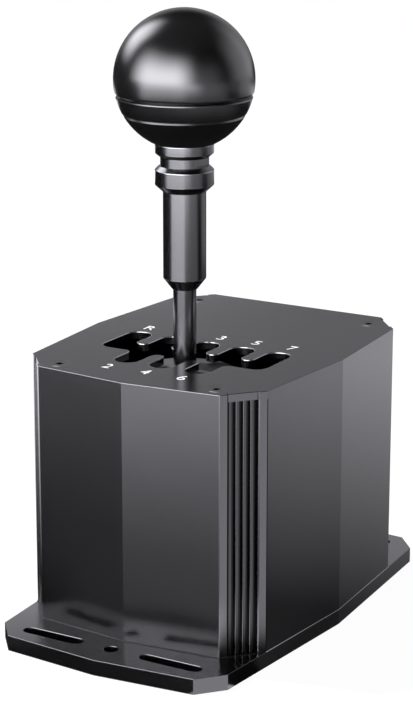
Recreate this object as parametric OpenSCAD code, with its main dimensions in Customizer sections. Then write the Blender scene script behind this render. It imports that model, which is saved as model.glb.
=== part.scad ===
// H-pattern gear shifter for a racing simulator: an aluminium box with a shift gate in its top,
// and a lever with a ball knob that tilts on a gimbal inside. Millimetres, +Z up, front at -Y.
// The origin is the middle of the base plate's underside.

/* [Housing] */
// Width across the two side ridges
body_w = 110; // [104:0.5:124]
// How far a side ridge stands out past the ends of its side
side_bulge = 3.9; // [1:0.1:6]
// Length of a side between its corner chamfers
side_len = 102.8; // [98:0.2:108]
// Width of the front and of the back between the corner chamfers
end_w = 78.1; // [74:0.1:84]
// Distance from the middle to the ends of the front, and to the flat back
end_y = 65.3; // [64:0.1:70]
// How far the front ridge stands out past the ends of the front
front_bulge = 3.8; // [1:0.1:6]
// Height of the top face above the table
top_z = 106.6; // [100:0.2:116]
// Wall thickness of the housing
wall = 3; // [2:0.1:4]
// Depth of the recess along each chamfered corner
recess_d = 0.6; // [0.3:0.1:1.5]
// Width of the shadow line between a recess and the nearer end of the housing
slit_w = 0.4; // [0.3:0.1:0.8]
// Depth of that line
slit_d = 1.4; // [0.8:0.1:2.2]
// Number of grooves in each recess
groove_n = 4; // [1:1:5]
// Width of a groove
groove_w = 1.4; // [0.8:0.1:1.6]
// Width of the rib beside a groove
rib_w = 1.4; // [0.8:0.1:1.6]
// Depth of a groove below its recess
groove_d = 1.7; // [0.5:0.1:2.5]

/* [Base plate] */
// Thickness of the base plate
base_t = 6; // [5:0.5:8]
// Length of the base plate over its end ridges
base_len = 180; // [170:1:200]
// How far an end ridge stands out past its corners
base_bulge = 3.5; // [0.5:0.1:6]
// Width of each end between the corner chamfers
base_end_w = 81.2; // [76:0.2:88]
// Length of the base's corner chamfers, measured front to back
base_chamfer = 10.1; // [4:0.1:12]
// Distance from the middle to the rows of bolt slots
mount_y = 77.8; // [75:0.1:80]
// Spacing of the two slots in a row
slot_spacing = 51.7; // [46:0.1:54]
// Length of a bolt slot, end to end
slot_len = 26.2; // [16:0.1:30]
// Width of a bolt slot
slot_w = 5.3; // [4:0.1:6.5]
// Diameter of the bolt hole between the slots
bolt_hole_d = 5.5; // [4:0.1:6.5]

/* [Top plate] */
// Thickness of the top plate
top_t = 3; // [2.5:0.1:4]
// Distance between two lanes of the gate
lane_pitch = 15.5; // [14:0.1:15.8]
// Width of a lane
lane_w = 10.2; // [10:0.1:11]
// Distance from neutral to the end of a lane
gate_reach = 21.1; // [20.8:0.1:23]
// Place of the lever along the housing
lever_y = -24; // [-26:0.5:-20]
// Sideways place of the front screws
front_screw_x = 34; // [32:0.2:35]
// Distance of the front screws from the middle
front_screw_y = 58.6; // [57:0.2:60]
// Sideways place of the back screws
back_screw_x = 39.2; // [36:0.2:40]
// Distance of the back screws from the middle
back_screw_y = 53.3; // [51:0.2:55]
// Thread size of the housing screws
screw_d = 4; // [3:0.5:4.5]
// Length of the housing screws
screw_len = 14; // [10:1:20]

/* [Lever] */
// Height of the gimbal's centre
pivot_z = 40; // [38:0.5:44]
// Diameter of the lever rod
rod_d = 8.8; // [7:0.1:9]
// Height of the sleeve's lower end
sleeve_z = 132.5; // [125:0.5:150]
// Length of the sleeve
sleeve_len = 37.2; // [20:0.2:60]
// Diameter of the sleeve
sleeve_d = 16.2; // [12:0.2:17]
// Height of the cone at the sleeve's lower end
sleeve_cone = 4.2; // [1:0.1:8]
// Diameter of the lock collar and of the knob adapter's flange
collar_d = 22.2; // [19:0.2:26]
// Height of the lock collar
collar_h = 9.8; // [7:0.1:14]
// Height of the collar's lower bevel
collar_bevel = 2.7; // [1:0.1:3.5]
// Height of the collar's upper bevel and of the flange's bevel
small_bevel = 1.6; // [0.5:0.1:2]
// Diameter of the knob adapter's neck
neck_d = 18.4; // [16.4:0.2:19]
// Height of the neck
neck_h = 3.3; // [2:0.1:8]
// Width across the neck's two wrench flats
neck_flats = 15.4; // [14:0.1:16]
// Height of the knob adapter's flange
flange_h = 4.9; // [3:0.1:8]

/* [Knob] */
// Diameter of the ball
ball_d = 52.4; // [48:0.2:60]
// Depth of the dome's lower face below the ball's centre
dome_cut = 5.1; // [3:0.1:6.5]
// Width of the joint line between the dome and the ring
knob_gap = 1.5; // [0.6:0.1:1.6]
// Depth of that joint line
knob_groove = 1; // [0.5:0.1:2]
// Depth of the ring's lower face below the ball's centre
ring_cut = 12.7; // [12:0.1:15]
// Height of the bevel on the upper edge of the knob's base
knob_bevel = 1.1; // [0.3:0.1:1.5]
// Diameter of the base's spigot that carries the ring and the dome
spigot_d = 26; // [22:0.5:30]
// Diameter of the threaded insert
insert_d = 14; // [12:0.5:16]
// Depth of the insert's upper end below the ball's centre
insert_cut = 4; // [2:0.5:8]

/* [Gimbal] */
// Width of the lever hub
hub_w = 20; // [18:0.5:22]
// Depth of the lever hub, front to back
hub_d = 18; // [16:0.5:20]
// Height of the hub above the gimbal's centre
hub_up = 18; // [15:0.5:22]
// Depth of the hub below the gimbal's centre
hub_down = 13; // [12.5:0.5:13.5]
// Room in front of and behind the hub for its tilt
swing_room = 4; // [3.5:0.1:5]
// Wall thickness of the yoke
yoke_wall = 8; // [6:0.5:9]
// Height of the yoke
yoke_h = 18; // [16:0.5:19]
// Diameter of the select pins
pin_d = 8; // [6:0.5:9]
// Diameter of the shift axle
axle_d = 7; // [5:0.5:7]
// Wall thickness of the flanged bushes
bush_wall = 2; // [1:0.1:2.5]
// Thickness of the bushes' flanges
bush_flange_t = 1.5; // [1:0.1:2]
// How far a flange stands out past its bush
bush_rim = 2; // [1:0.1:2.5]
// Thickness of the pillars
pillar_t = 8; // [7:0.5:10]
// Width of the pillars
pillar_w = 30; // [26:0.5:34]
// How far the shift axle stands out of the yoke on each side
axle_out = 2.5; // [2:0.1:3]
// Thickness of the axle clips
clip_t = 1; // [0.6:0.1:1.4]
// Width of the axle clips' rims
clip_w = 2; // [1:0.1:2.4]

/* [Detent] */
// Thickness of the detent block under its bowl
detent_floor = 4.7; // [4:0.1:5]
// Height of the detent block
detent_h = 11; // [10:0.5:12]
// Side length of the detent block
detent_w = 40; // [39:0.5:41]
// Depth of the dimples in the bowl
dimple_d = 0.5; // [0.2:0.1:1]
// How far the plunger's tip stands out of its tube
tip_out = 5; // [4.5:0.1:5.5]
// Diameter of the plunger's stem
stem_d = 5.3; // [4.5:0.1:5.5]
// Diameter of the plunger's head
plunger_d = 6.9; // [6.3:0.1:7.1]
// Height of the plunger's head
plunger_h = 3; // [2:0.1:4]
// Outer diameter of the detent tube
tube_d = 12; // [11:0.1:13]
// Length of the tube's threaded end in the hub
tube_thread = 6; // [4:0.1:7]
// Diameter of the tube's threaded end
tube_thread_d = 9.4; // [9:0.1:10.4]
// Thickness of the lip that holds the plunger in
lip_t = 1.5; // [1:0.1:2]
// Sideways place of the centring springs
spring_x = 27.4; // [27:0.1:28]
// Mean diameter of the centring springs
spring_d = 8; // [7.4:0.1:8.4]
// Wire diameter of the centring springs
wire_d = 1.2; // [0.8:0.1:1.4]
// Number of curls in a centring spring
spring_n = 8; // [5:1:9]

/* [Dust dome] */
// Thickness of the dust dome
dome_t = 1.5; // [1:0.1:2]
// Diameter of the dust dome
dome_d = 40; // [36:0.5:48]

/* [Electronics] */
// Thickness of the circuit boards
board_t = 1.6; // [0.8:0.1:2]
// Width of the controller board
board_w = 56; // [46:1:58]
// Length of the controller board
board_len = 38; // [30:1:39]
// Height of the controller board's standoffs
standoff_h = 6; // [4:0.5:10]
// Diameter of the sensor magnets
magnet_d = 5; // [3:0.5:5]
// Width of a sensor board
sensor_w = 24; // [22:0.5:28]
// Height of a sensor board's screws above the axis it reads
sensor_up = 4.5; // [4:0.1:5]
// Width of the socket's mouth in the back wall
socket_w = 9; // [8:0.1:12]
// Height of the socket's mouth
socket_h = 3.2; // [2.6:0.1:4]
// Length of the socket's shell
socket_len = 8; // [7:0.1:10]

/* [Clearances] */
// Radial play of turning and sliding pieces
run_play = 0.05; // [0.02:0.01:0.1]
// Radial play drawn between pressed or screwed pieces
press_play = 0.02; // [0.01:0.01:0.05]
// End play between pieces that turn beside each other
side_play = 0.25; // [0.1:0.05:0.4]
// Play of the plunger's tip in the bowl, and of a spring under its arm
seat_play = 0.3; // [0.2:0.05:0.4]
// Radial play of a screw in a plain hole
screw_play = 0.2; // [0.1:0.05:0.4]
// Gap between the dust dome and the top plate
dome_play = 0.5; // [0.4:0.1:2]

/* [Hidden] */
$fn = 96;

aluminium = [0.25, 0.25, 0.26];
black = [0.07, 0.07, 0.075];
steel = [0.62, 0.63, 0.65];
bronze = [0.66, 0.49, 0.28];
brass = [0.78, 0.64, 0.32];
green = [0.08, 0.3, 0.16];

// Overshoot of a cut past the face it starts from
over = 1;
// Depth of a countersunk head below the underside of the base
flush = 0.2;

// Housing and base outlines
side_x = body_w / 2 - side_bulge;
chamfer_from = [end_w / 2, -end_y];
chamfer_to = [side_x, -side_len / 2];
chamfer_len = norm(chamfer_to - chamfer_from);
chamfer_turn = atan2(chamfer_to.y - chamfer_from.y, chamfer_to.x - chamfer_from.x);
recess_w = groove_n * (groove_w + rib_w);
corner_wall = wall + recess_d + groove_d;
housing_h = top_z - top_t - base_t;
base_end_y = base_len / 2 - base_bulge;
base_side_y = base_end_y - base_chamfer;
base_side_x = body_w / 2 - side_bulge * base_side_y / (side_len / 2);

// Screws
head_ratio = 1.9;
socket_ratio = 0.62;
boss_d = 2.6 * screw_d;
small_screw_d = 3;
board_screw_d = 2.5;
board_screw_len = 5;
cap_h = 2;

// Gate and lever angles
gate_h = top_z - top_t / 2 - pivot_z;
tongue_w = lane_pitch - lane_w;

// Gimbal, from the middle outwards
window_x = hub_w + 2 * (bush_flange_t + side_play);
window_y = hub_d + 2 * swing_room;
yoke_x = window_x + 2 * yoke_wall;
yoke_y = window_y + 2 * yoke_wall;
pillar_in = yoke_y / 2 + bush_flange_t + side_play;
pillar_out = pillar_in + pillar_t;
pin_out = 1;
axle_end = yoke_x / 2 + axle_out;
arm_t = 3;
arm_edge = 2;
arm_w = spring_d + 2 * arm_edge;
arm_end = spring_x + spring_d / 2 + 1.6;
rod_gap = 2;
rod_depth = hub_up - axle_d / 2 - rod_gap;

// Detent and springs
bowl_r = pivot_z - base_t - detent_floor;
tip_r = bowl_r - seat_play;
tube_end = tip_r - tip_out;
tube_bore = plunger_d + 2 * run_play;
tube_top = hub_down - tube_thread;
plunger_top = tube_end - lip_t - run_play - plunger_h;
plunger_dimple = 3.2;
post_flange_t = 2;
post_rim = 1.5;
post_h = 10;
post_pin_d = 4;
post_pin_h = 4;
board_hole_h = 4;
detent_wire = 0.8;
detent_spring_n = 6;
detent_spring_d = tube_bore - detent_wire - 0.6;

// Lever stack
collar_z = sleeve_z + sleeve_len;
neck_z = collar_z + collar_h;
flange_z = neck_z + neck_h;
knob_z = flange_z + flange_h;
ball_z = knob_z + ball_rim(collar_d / 2);
rod_top = ball_z - insert_cut - rod_gap;
sleeve_edge = 0.4;
bevel_lean = 0.4;
nut_h = 6;
nut_flats = 15;

// Dust dome
dome_r = top_z - top_t - dome_play - pivot_z;
dome_hub_d = 15;
dome_hub_h = 8;

// Electronics
board_gap = 0.6;
board_back = end_y - wall - board_gap;
board_z = base_t + standoff_h;
standoff_d = 5;
standoff_inset = 4;
spacer_len = 5;
spacer_d = 4.5;
chip_t = 1;
chip_w = 5;
magnet_t = 1.5;
sensor_low = yoke_h / 2 - arm_t - 1;

// Outline of the housing, counter-clockwise from the front ridge
body_points = [[0, -end_y - front_bulge], chamfer_from, chamfer_to, [body_w / 2, 0],
    [side_x, side_len / 2], [end_w / 2, end_y], [-end_w / 2, end_y], [-side_x, side_len / 2],
    [-body_w / 2, 0], [-side_x, -side_len / 2], [-end_w / 2, -end_y]];
// Thickness behind each edge of that outline: the chamfers are thicker for their grooves
body_walls = [wall, corner_wall, wall, wall, corner_wall, wall, corner_wall, wall, wall,
    corner_wall, wall];
base_quarter = [[0, base_len / 2], [base_end_w / 2, base_end_y], [base_side_x, base_side_y],
    [body_w / 2, 0]];

function cross_z(a, b) = a.x * b.y - a.y * b.x;
function left_of(v) = [-v.y, v.x] / norm(v);
// Corner p of an outline, with the edges before and after it moved inwards by d and e
function inset_corner(before, p, after, d, e) =
    let (u = p - before, v = after - p)
    let (a = p + d * left_of(u), b = p + e * left_of(v))
    a + u * cross_z(b - a, v) / cross_z(u, v);
function inset(points, walls) =
    let (n = len(points))
    [for (i = [0:n - 1]) inset_corner(points[(i + n - 1) % n], points[i], points[(i + 1) % n],
        walls[(i + n - 1) % n], walls[i])];
function lane_deg(lane) = atan(lane * lane_pitch / gate_h);
function shift_deg(way) = way * atan((gate_reach - lane_w / 2) / gate_h);
function head_h(d) = (head_ratio - 1) * d / 2;
// Radius of the ball at a depth below its centre
function ball_rim(depth) = sqrt(pow(ball_d / 2, 2) - pow(depth, 2));

// Placing

module at_pivot() {
    translate([0, lever_y, pivot_z]) children();
}

module at_both_sides() {
    children();
    mirror([1, 0, 0]) children();
}

module at_corner_chamfers() {
    for (flip_x = [0, 1], flip_y = [0, 1])
        mirror([flip_x, 0]) mirror([0, flip_y])
            translate(chamfer_from) rotate(chamfer_turn) children();
}

module at_housing_screws() {
    for (side = [-1, 1]) {
        translate([side * front_screw_x, -front_screw_y]) children();
        translate([side * back_screw_x, back_screw_y]) children();
    }
}

module at_pillar_screws() {
    for (side = [-1, 1], way = [-1, 1])
        translate([side * pillar_w / 3, lever_y + way * (pillar_in + pillar_t / 2)]) children();
}

module at_detent_screws() {
    for (side = [-1, 1])
        translate([side * detent_w * 0.42, lever_y + side * detent_w * 0.42]) children();
}

module at_board_corners() {
    for (side = [-1, 1], end = [standoff_inset, board_len - standoff_inset])
        translate([side * (board_w / 2 - standoff_inset), board_back - end]) children();
}

module at_sensor_spacers() {
    for (side = [-1, 1])
        translate([side * (sensor_w / 2 - spacer_d), 0]) children();
}

// Shared shapes

// A countersunk socket screw pointing down, with the top of its head at z = 0
module countersunk_screw(d, length) {
    difference() {
        union() {
            translate([0, 0, -head_h(d)]) cylinder(d1 = d, d2 = head_ratio * d, h = head_h(d));
            translate([0, 0, -length]) cylinder(d = d, h = length - head_h(d) / 2);
        }
        translate([0, 0, -head_h(d)])
            cylinder(d = socket_ratio * d / cos(30), h = head_h(d) + over, $fn = 6);
    }
}

// The hole for that screw through a plate, with its countersink at z = 0
module countersunk_hole(d, depth) {
    wide = d + 2 * screw_play;
    rim = head_ratio * d + 2 * run_play;
    translate([0, 0, -depth - over]) cylinder(d = wide, h = depth + 2 * over);
    translate([0, 0, -(rim - wide) / 2]) cylinder(d1 = wide, d2 = rim, h = (rim - wide) / 2);
    cylinder(d = rim, h = over);
}

// A small screw with a cylinder head, pointing down, with the underside of its head at z = 0
module cap_screw(d, length) {
    difference() {
        union() {
            cylinder(d = 1.8 * d, h = cap_h);
            translate([0, 0, -length]) cylinder(d = d, h = length + cap_h / 2);
        }
        translate([0, 0, cap_h / 2])
            cylinder(d = socket_ratio * d / cos(30), h = cap_h, $fn = 6);
    }
}

module tapped_hole(d, depth) {
    translate([0, 0, -depth]) cylinder(d = d + 2 * press_play, h = depth + over);
}

module slot_shape(length, width) {
    square([length - width, width], center = true);
    for (end = [-1, 1])
        translate([end * (length - width) / 2, 0]) circle(d = width);
}

// A flanged bush along +Z, with its flange below z = 0
module flanged_bush(bore, length) {
    outer = bore + 2 * bush_wall;
    difference() {
        union() {
            cylinder(d = outer - 2 * press_play, h = length);
            translate([0, 0, -bush_flange_t]) cylinder(d = outer + 2 * bush_rim, h = bush_flange_t);
        }
        translate([0, 0, -bush_flange_t - over])
            cylinder(d = bore, h = length + bush_flange_t + 2 * over);
    }
}

// A compression spring: one tube of wire wound round +Z, from z = 0 to its height
rings_per_curl = 8;
wire_sides = 6;
function coil_ring(i, mean_d, wire, height, curls) =
    let (turn = 360 * i / rings_per_curl)
    let (rise = wire / 2 + (height - wire) * i / (curls * rings_per_curl))
    [for (k = [0:wire_sides - 1])
        let (r = mean_d / 2 + wire / 2 * cos(360 * k / wire_sides))
        [r * cos(turn), r * sin(turn), rise + wire / 2 * sin(360 * k / wire_sides)]];
// Least distance between the points of one curl and those of the next
function coil_gap(mean_d, wire, height, curls) =
    let (first = coil_ring(0, mean_d, wire, height, curls))
    let (next = coil_ring(rings_per_curl, mean_d, wire, height, curls))
    min([for (a = first, b = next) norm(a - b)]);

module coil_spring(mean_d, wire, height, curls) {
    rings = curls * rings_per_curl;
    points = [for (i = [0:rings]) each coil_ring(i, mean_d, wire, height, curls)];
    sides = [for (i = [0:rings - 1], k = [0:wire_sides - 1])
        let (a = i * wire_sides + k, b = i * wire_sides + (k + 1) % wire_sides)
        each [[a, a + wire_sides, b], [b, a + wire_sides, b + wire_sides]]];
    first_cap = [for (k = [1:wire_sides - 2]) [0, k, k + 1]];
    end = rings * wire_sides;
    last_cap = [for (k = [1:wire_sides - 2]) [end, end + k + 1, end + k]];
    polyhedron(points, concat(sides, first_cap, last_cap));
    echo(curl_gap = coil_gap(mean_d, wire, height, curls));
}

// Frame

module body_shape() {
    difference() {
        polygon(body_points);
        at_corner_chamfers() translate([(chamfer_len - recess_w) / 2, -over]) {
            square([recess_w, recess_d + over]);
            translate([-slit_w, 0]) square([slit_w, slit_d + over]);
        }
    }
}

module grooves_shape() {
    at_corner_chamfers()
        for (i = [0:groove_n - 1])
            translate([(chamfer_len - recess_w) / 2 + i * (groove_w + rib_w) + rib_w, -over])
                square([groove_w, recess_d + groove_d + over]);
}

module base_plate() {
    right_side = [for (i = [0:3]) base_quarter[i]];
    mirrored_right = [for (i = [2:-1:0]) [base_quarter[i].x, -base_quarter[i].y]];
    left_side = [for (i = [1:3]) [-base_quarter[i].x, -base_quarter[i].y]];
    mirrored_left = [for (i = [2:-1:1]) [-base_quarter[i].x, base_quarter[i].y]];
    color(aluminium) difference() {
        linear_extrude(base_t) difference() {
            polygon(concat(right_side, mirrored_right, left_side, mirrored_left));
            for (end = [-1, 1]) translate([0, end * mount_y]) {
                circle(d = bolt_hole_d);
                for (side = [-1, 1])
                    translate([side * slot_spacing / 2, 0]) slot_shape(slot_len, slot_w);
            }
        }
        translate([0, 0, flush]) {
            at_housing_screws() mirror([0, 0, 1]) countersunk_hole(screw_d, base_t);
            at_pillar_screws() mirror([0, 0, 1]) countersunk_hole(screw_d, base_t);
            at_detent_screws() mirror([0, 0, 1]) countersunk_hole(small_screw_d, base_t);
        }
        for (side = [-1, 1])
            translate([side * spring_x, lever_y, base_t]) tapped_hole(post_pin_d, post_pin_h);
        at_board_corners() translate([0, 0, base_t]) tapped_hole(board_screw_d, board_hole_h);
    }
}

module housing() {
    color(aluminium) difference() {
        translate([0, 0, base_t]) linear_extrude(housing_h) difference() {
            body_shape();
            grooves_shape();
            difference() {
                polygon(inset(body_points, body_walls));
                at_housing_screws() circle(d = boss_d);
            }
            at_housing_screws() circle(d = screw_d + 2 * press_play);
        }
        translate([0, end_y - wall / 2, board_z + board_t + socket_h / 2])
            cube([socket_w + 2 * screw_play, wall + 2 * over, socket_h + 2 * screw_play],
                center = true);
    }
}

// The shift gate, with neutral at the origin: five lanes ahead, three behind, one cross channel
module gate_shape() {
    reach = gate_reach - lane_w / 2;
    round_r = tongue_w / 2;
    for (lane = [-2:2]) translate([lane * lane_pitch, 0]) {
        translate([0, reach]) circle(d = lane_w);
        translate([-lane_w / 2, 0]) square([lane_w, reach]);
    }
    for (lane = [-1:1]) translate([lane * lane_pitch, 0]) {
        translate([0, -reach]) circle(d = lane_w);
        translate([-lane_w / 2, -reach]) square([lane_w, reach]);
    }
    slot_shape(4 * lane_pitch + lane_w, lane_w);
    for (lane = [-1.5:1:1.5])
        translate([lane * lane_pitch, lane_w / 2]) rounded_tip(round_r, -1);
    for (lane = [-0.5, 0.5])
        translate([lane * lane_pitch, -lane_w / 2]) rounded_tip(round_r, 1);
    for (side = [-1, 1])
        translate([side * 1.5 * lane_pitch, -lane_w / 2]) intersection() {
            rounded_tip(round_r, 1);
            translate([side < 0 ? 0 : -round_r, -round_r]) square(round_r);
        }
}

// What the rounding takes off the tip of a gate tongue whose end lies on y = 0
module rounded_tip(r, way) {
    translate([0, -way * r / 2]) difference() {
        square([2 * r, r], center = true);
        translate([0, -way * r / 2]) circle(r = r);
    }
}

module top_plate() {
    color(aluminium) translate([0, 0, top_z]) difference() {
        translate([0, 0, -top_t]) linear_extrude(top_t) difference() {
            body_shape();
            translate([0, lever_y]) gate_shape();
        }
        at_housing_screws() countersunk_hole(screw_d, top_t);
    }
}

module top_screws() {
    color(aluminium) translate([0, 0, top_z])
        at_housing_screws() countersunk_screw(screw_d, screw_len);
}

module base_screws() {
    color(steel) translate([0, 0, flush])
        at_housing_screws() mirror([0, 0, 1]) countersunk_screw(screw_d, screw_len);
}

module pillar_screws() {
    color(steel) translate([0, 0, flush])
        at_pillar_screws() mirror([0, 0, 1]) countersunk_screw(screw_d, screw_len);
}

module detent_block_screws() {
    color(steel) translate([0, 0, flush]) at_detent_screws()
        mirror([0, 0, 1]) countersunk_screw(small_screw_d, base_t + detent_h / 2);
}

// A pillar beside the gimbal, which carries a select bush
module pillar() {
    bore = pin_d + 2 * run_play + 2 * bush_wall;
    foot = pivot_z - base_t;
    difference() {
        translate([0, pillar_out, 0]) rotate([90, 0, 0]) linear_extrude(pillar_t) difference() {
            union() {
                translate([-pillar_w / 2, -foot]) square([pillar_w, foot]);
                circle(d = pillar_w);
            }
            circle(d = bore);
        }
        for (side = [-1, 1])
            translate([side * pillar_w / 3, pillar_in + pillar_t / 2, -foot])
                mirror([0, 0, 1]) tapped_hole(screw_d, screw_len);
    }
}

module rear_pillar() {
    color(aluminium) difference() {
        at_pivot() pillar();
        at_select_sensor() at_sensor_spacers() tapped_hole(board_screw_d, board_screw_len);
    }
}

module front_pillar() {
    color(aluminium) at_pivot() rotate(180) pillar();
}

module select_bush() {
    color(bronze) translate([0, pillar_in, 0]) rotate([-90, 0, 0])
        flanged_bush(pin_d + 2 * run_play, pillar_t);
}

module rear_select_bush() {
    at_pivot() select_bush();
}

module front_select_bush() {
    at_pivot() rotate(180) select_bush();
}

// A block under the lever with a bowl round the gimbal's centre, and a dimple for each gear
module detent_block() {
    color(black) difference() {
        translate([-detent_w / 2, lever_y - detent_w / 2, base_t])
            cube([detent_w, detent_w, detent_h]);
        at_pivot() {
            sphere(r = bowl_r);
            for (lane = [-2:2], way = [-1:1])
                if (abs(lane) < 2 || way < 1)
                    rotate([shift_deg(way), lane_deg(lane), 0])
                        translate([0, 0, plunger_dimple - dimple_d - bowl_r])
                            sphere(r = plunger_dimple);
        }
        translate([0, 0, base_t])
            at_detent_screws() mirror([0, 0, 1]) tapped_hole(small_screw_d, detent_h / 2 + over);
    }
}

module spring_post() {
    color(steel) translate([spring_x, lever_y, base_t]) {
        cylinder(d = spring_d + 2 * post_rim, h = post_flange_t);
        cylinder(d = spring_d - wire_d - 2 * side_play, h = post_h);
        translate([0, 0, side_play - post_pin_h]) cylinder(d = post_pin_d, h = post_pin_h);
    }
}

module right_spring_post() {
    spring_post();
}

module left_spring_post() {
    mirror([1, 0, 0]) spring_post();
}

module centring_spring() {
    foot = base_t + post_flange_t;
    color(steel) translate([spring_x, lever_y, foot])
        coil_spring(spring_d, wire_d, pivot_z - yoke_h / 2 - seat_play - foot, spring_n);
}

module right_centring_spring() {
    centring_spring();
}

module left_centring_spring() {
    mirror([1, 0, 0]) centring_spring();
}

// Sensor board with its spacers, chip and screws, standing on z = 0 over a magnet on the axis

module sensor_spacers() {
    color(steel) at_sensor_spacers() difference() {
        cylinder(d = spacer_d, h = spacer_len);
        translate([0, 0, -over])
            cylinder(d = board_screw_d + 2 * press_play, h = spacer_len + 2 * over);
    }
}

module sensor_board() {
    color(green) translate([0, 0, spacer_len]) difference() {
        translate([-sensor_w / 2, -sensor_up - sensor_low, 0])
            cube([sensor_w, sensor_low + sensor_up + spacer_d, board_t]);
        at_sensor_spacers() translate([0, 0, -over])
            cylinder(d = board_screw_d + 2 * press_play, h = board_t + 2 * over);
    }
}

module sensor_chip() {
    color(black) translate([-chip_w / 2, -chip_w / 2 - sensor_up, spacer_len - chip_t])
        cube([chip_w, chip_w, chip_t]);
}

module sensor_screws() {
    color(steel) translate([0, 0, spacer_len + board_t])
        at_sensor_spacers() cap_screw(board_screw_d, spacer_len + board_t + board_screw_len - over);
}

module at_select_sensor() {
    at_pivot() translate([0, pillar_out, sensor_up]) rotate([-90, 0, 0]) mirror([0, 1, 0])
        children();
}

module at_shift_sensor() {
    at_pivot() translate([-yoke_x / 2, 0, sensor_up]) rotate([90, 0, -90]) children();
}

module select_sensor_board() {
    at_select_sensor() sensor_board();
}

module select_sensor_chip() {
    at_select_sensor() sensor_chip();
}

module select_sensor_spacers() {
    at_select_sensor() sensor_spacers();
}

module select_sensor_screws() {
    at_select_sensor() sensor_screws();
}

module shift_sensor_board() {
    at_shift_sensor() sensor_board();
}

module shift_sensor_chip() {
    at_shift_sensor() sensor_chip();
}

module shift_sensor_spacers() {
    at_shift_sensor() sensor_spacers();
}

module shift_sensor_screws() {
    at_shift_sensor() sensor_screws();
}

// Controller and socket

module controller_board() {
    color(green) translate([0, 0, board_z]) difference() {
        translate([-board_w / 2, board_back - board_len, 0]) cube([board_w, board_len, board_t]);
        at_board_corners() translate([0, 0, -over])
            cylinder(d = board_screw_d + 2 * press_play, h = board_t + 2 * over);
    }
}

// The controller's chip, a regulator beside it, and two plugs for the sensors' leads
module board_components() {
    middle = board_back - board_len / 2;
    chip = [10, 10, 1.2];
    regulator = [5, 3.2, 1.4];
    regulator_gap = 4;
    plug = [10, 4.5, 4];
    plug_x = 14;
    plug_inset = 1;
    color(black) translate([0, middle, board_z + board_t]) {
        translate([-chip.x / 2, -chip.y / 2, 0]) cube(chip);
        translate([chip.x / 2 + regulator_gap, -regulator.y / 2, 0]) cube(regulator);
        for (side = [-1, 1])
            translate([side * plug_x - plug.x / 2, -board_len / 2 + plug_inset, 0]) cube(plug);
    }
}

module board_standoffs() {
    color(brass) at_board_corners() translate([0, 0, base_t]) difference() {
        cylinder(d = standoff_d / cos(30), h = standoff_h, $fn = 6);
        translate([0, 0, -over])
            cylinder(d = board_screw_d + 2 * press_play, h = standoff_h + 2 * over);
    }
}

module board_screws() {
    color(steel) at_board_corners() translate([0, 0, board_z + board_t])
        cap_screw(board_screw_d, board_t + standoff_h + board_hole_h - over);
}

module rear_socket() {
    shell = 0.4;
    tongue_t = 0.7;
    tongue_gap = 0.8;
    color(steel) translate([0, end_y - socket_len / 2, board_z + board_t + socket_h / 2]) {
        difference() {
            cube([socket_w, socket_len, socket_h], center = true);
            translate([0, over, 0])
                cube([socket_w - 2 * shell, socket_len, socket_h - 2 * shell], center = true);
        }
        translate([0, -shell, 0])
            cube([socket_w - 2 * (shell + tongue_gap), socket_len - 2 * shell, tongue_t], center = true);
    }
}

// Gimbal

module gimbal_yoke() {
    color(aluminium) difference() {
        at_pivot() difference() {
            union() {
                cube([yoke_x, yoke_y, yoke_h], center = true);
                translate([0, 0, (arm_t - yoke_h) / 2])
                    cube([2 * arm_end, arm_w, arm_t], center = true);
            }
            cube([window_x, window_y, yoke_h + 2 * over], center = true);
            rotate([90, 0, 0])
                cylinder(d = pin_d + 2 * press_play, h = yoke_y + 2 * over, center = true);
            rotate([0, 90, 0])
                cylinder(d = axle_d + 2 * run_play + 2 * bush_wall, h = yoke_x + 2 * over,
                    center = true);
        }
        at_shift_sensor() at_sensor_spacers() tapped_hole(board_screw_d, board_screw_len);
    }
}

module select_pin() {
    start = window_y / 2 + side_play;
    color(steel) translate([0, start, 0]) rotate([-90, 0, 0])
        cylinder(d = pin_d, h = pillar_out + pin_out - start);
}

module rear_select_pin() {
    at_pivot() select_pin();
}

module front_select_pin() {
    at_pivot() rotate(180) select_pin();
}

module select_magnet() {
    color(steel) at_pivot() translate([0, pillar_out + pin_out, 0]) rotate([-90, 0, 0])
        cylinder(d = magnet_d, h = magnet_t);
}

module shift_bush() {
    color(bronze) translate([window_x / 2, 0, 0]) rotate([0, 90, 0])
        flanged_bush(axle_d + 2 * run_play, yoke_wall);
}

module right_shift_bush() {
    at_pivot() shift_bush();
}

module left_shift_bush() {
    at_pivot() rotate(180) shift_bush();
}

// Lever

module lever_hub() {
    color(aluminium) at_pivot() difference() {
        translate([-hub_w / 2, -hub_d / 2, -hub_down]) cube([hub_w, hub_d, hub_down + hub_up]);
        rotate([0, 90, 0])
            cylinder(d = axle_d + 2 * press_play, h = hub_w + 2 * over, center = true);
        translate([0, 0, hub_up]) tapped_hole(rod_d, rod_depth);
        translate([0, 0, -hub_down]) mirror([0, 0, 1]) tapped_hole(tube_thread_d, tube_thread);
    }
}

module shift_axle() {
    color(steel) at_pivot() rotate([0, 90, 0])
        cylinder(d = axle_d, h = 2 * axle_end, center = true);
}

module axle_clips() {
    color(steel) at_pivot() at_both_sides()
        translate([yoke_x / 2 + side_play, 0, 0]) rotate([0, 90, 0]) difference() {
            cylinder(d = axle_d + 2 * clip_w, h = clip_t);
            translate([0, 0, -over])
                cylinder(d = axle_d + 2 * press_play, h = clip_t + 2 * over);
        }
}

module shift_magnet() {
    color(steel) at_pivot() translate([-axle_end, 0, 0]) rotate([0, -90, 0])
        cylinder(d = magnet_d, h = magnet_t / 2);
}

module lever_rod() {
    foot = pivot_z + hub_up - rod_depth;
    color(steel) translate([0, lever_y, foot]) cylinder(d = rod_d, h = rod_top - foot);
}

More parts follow.
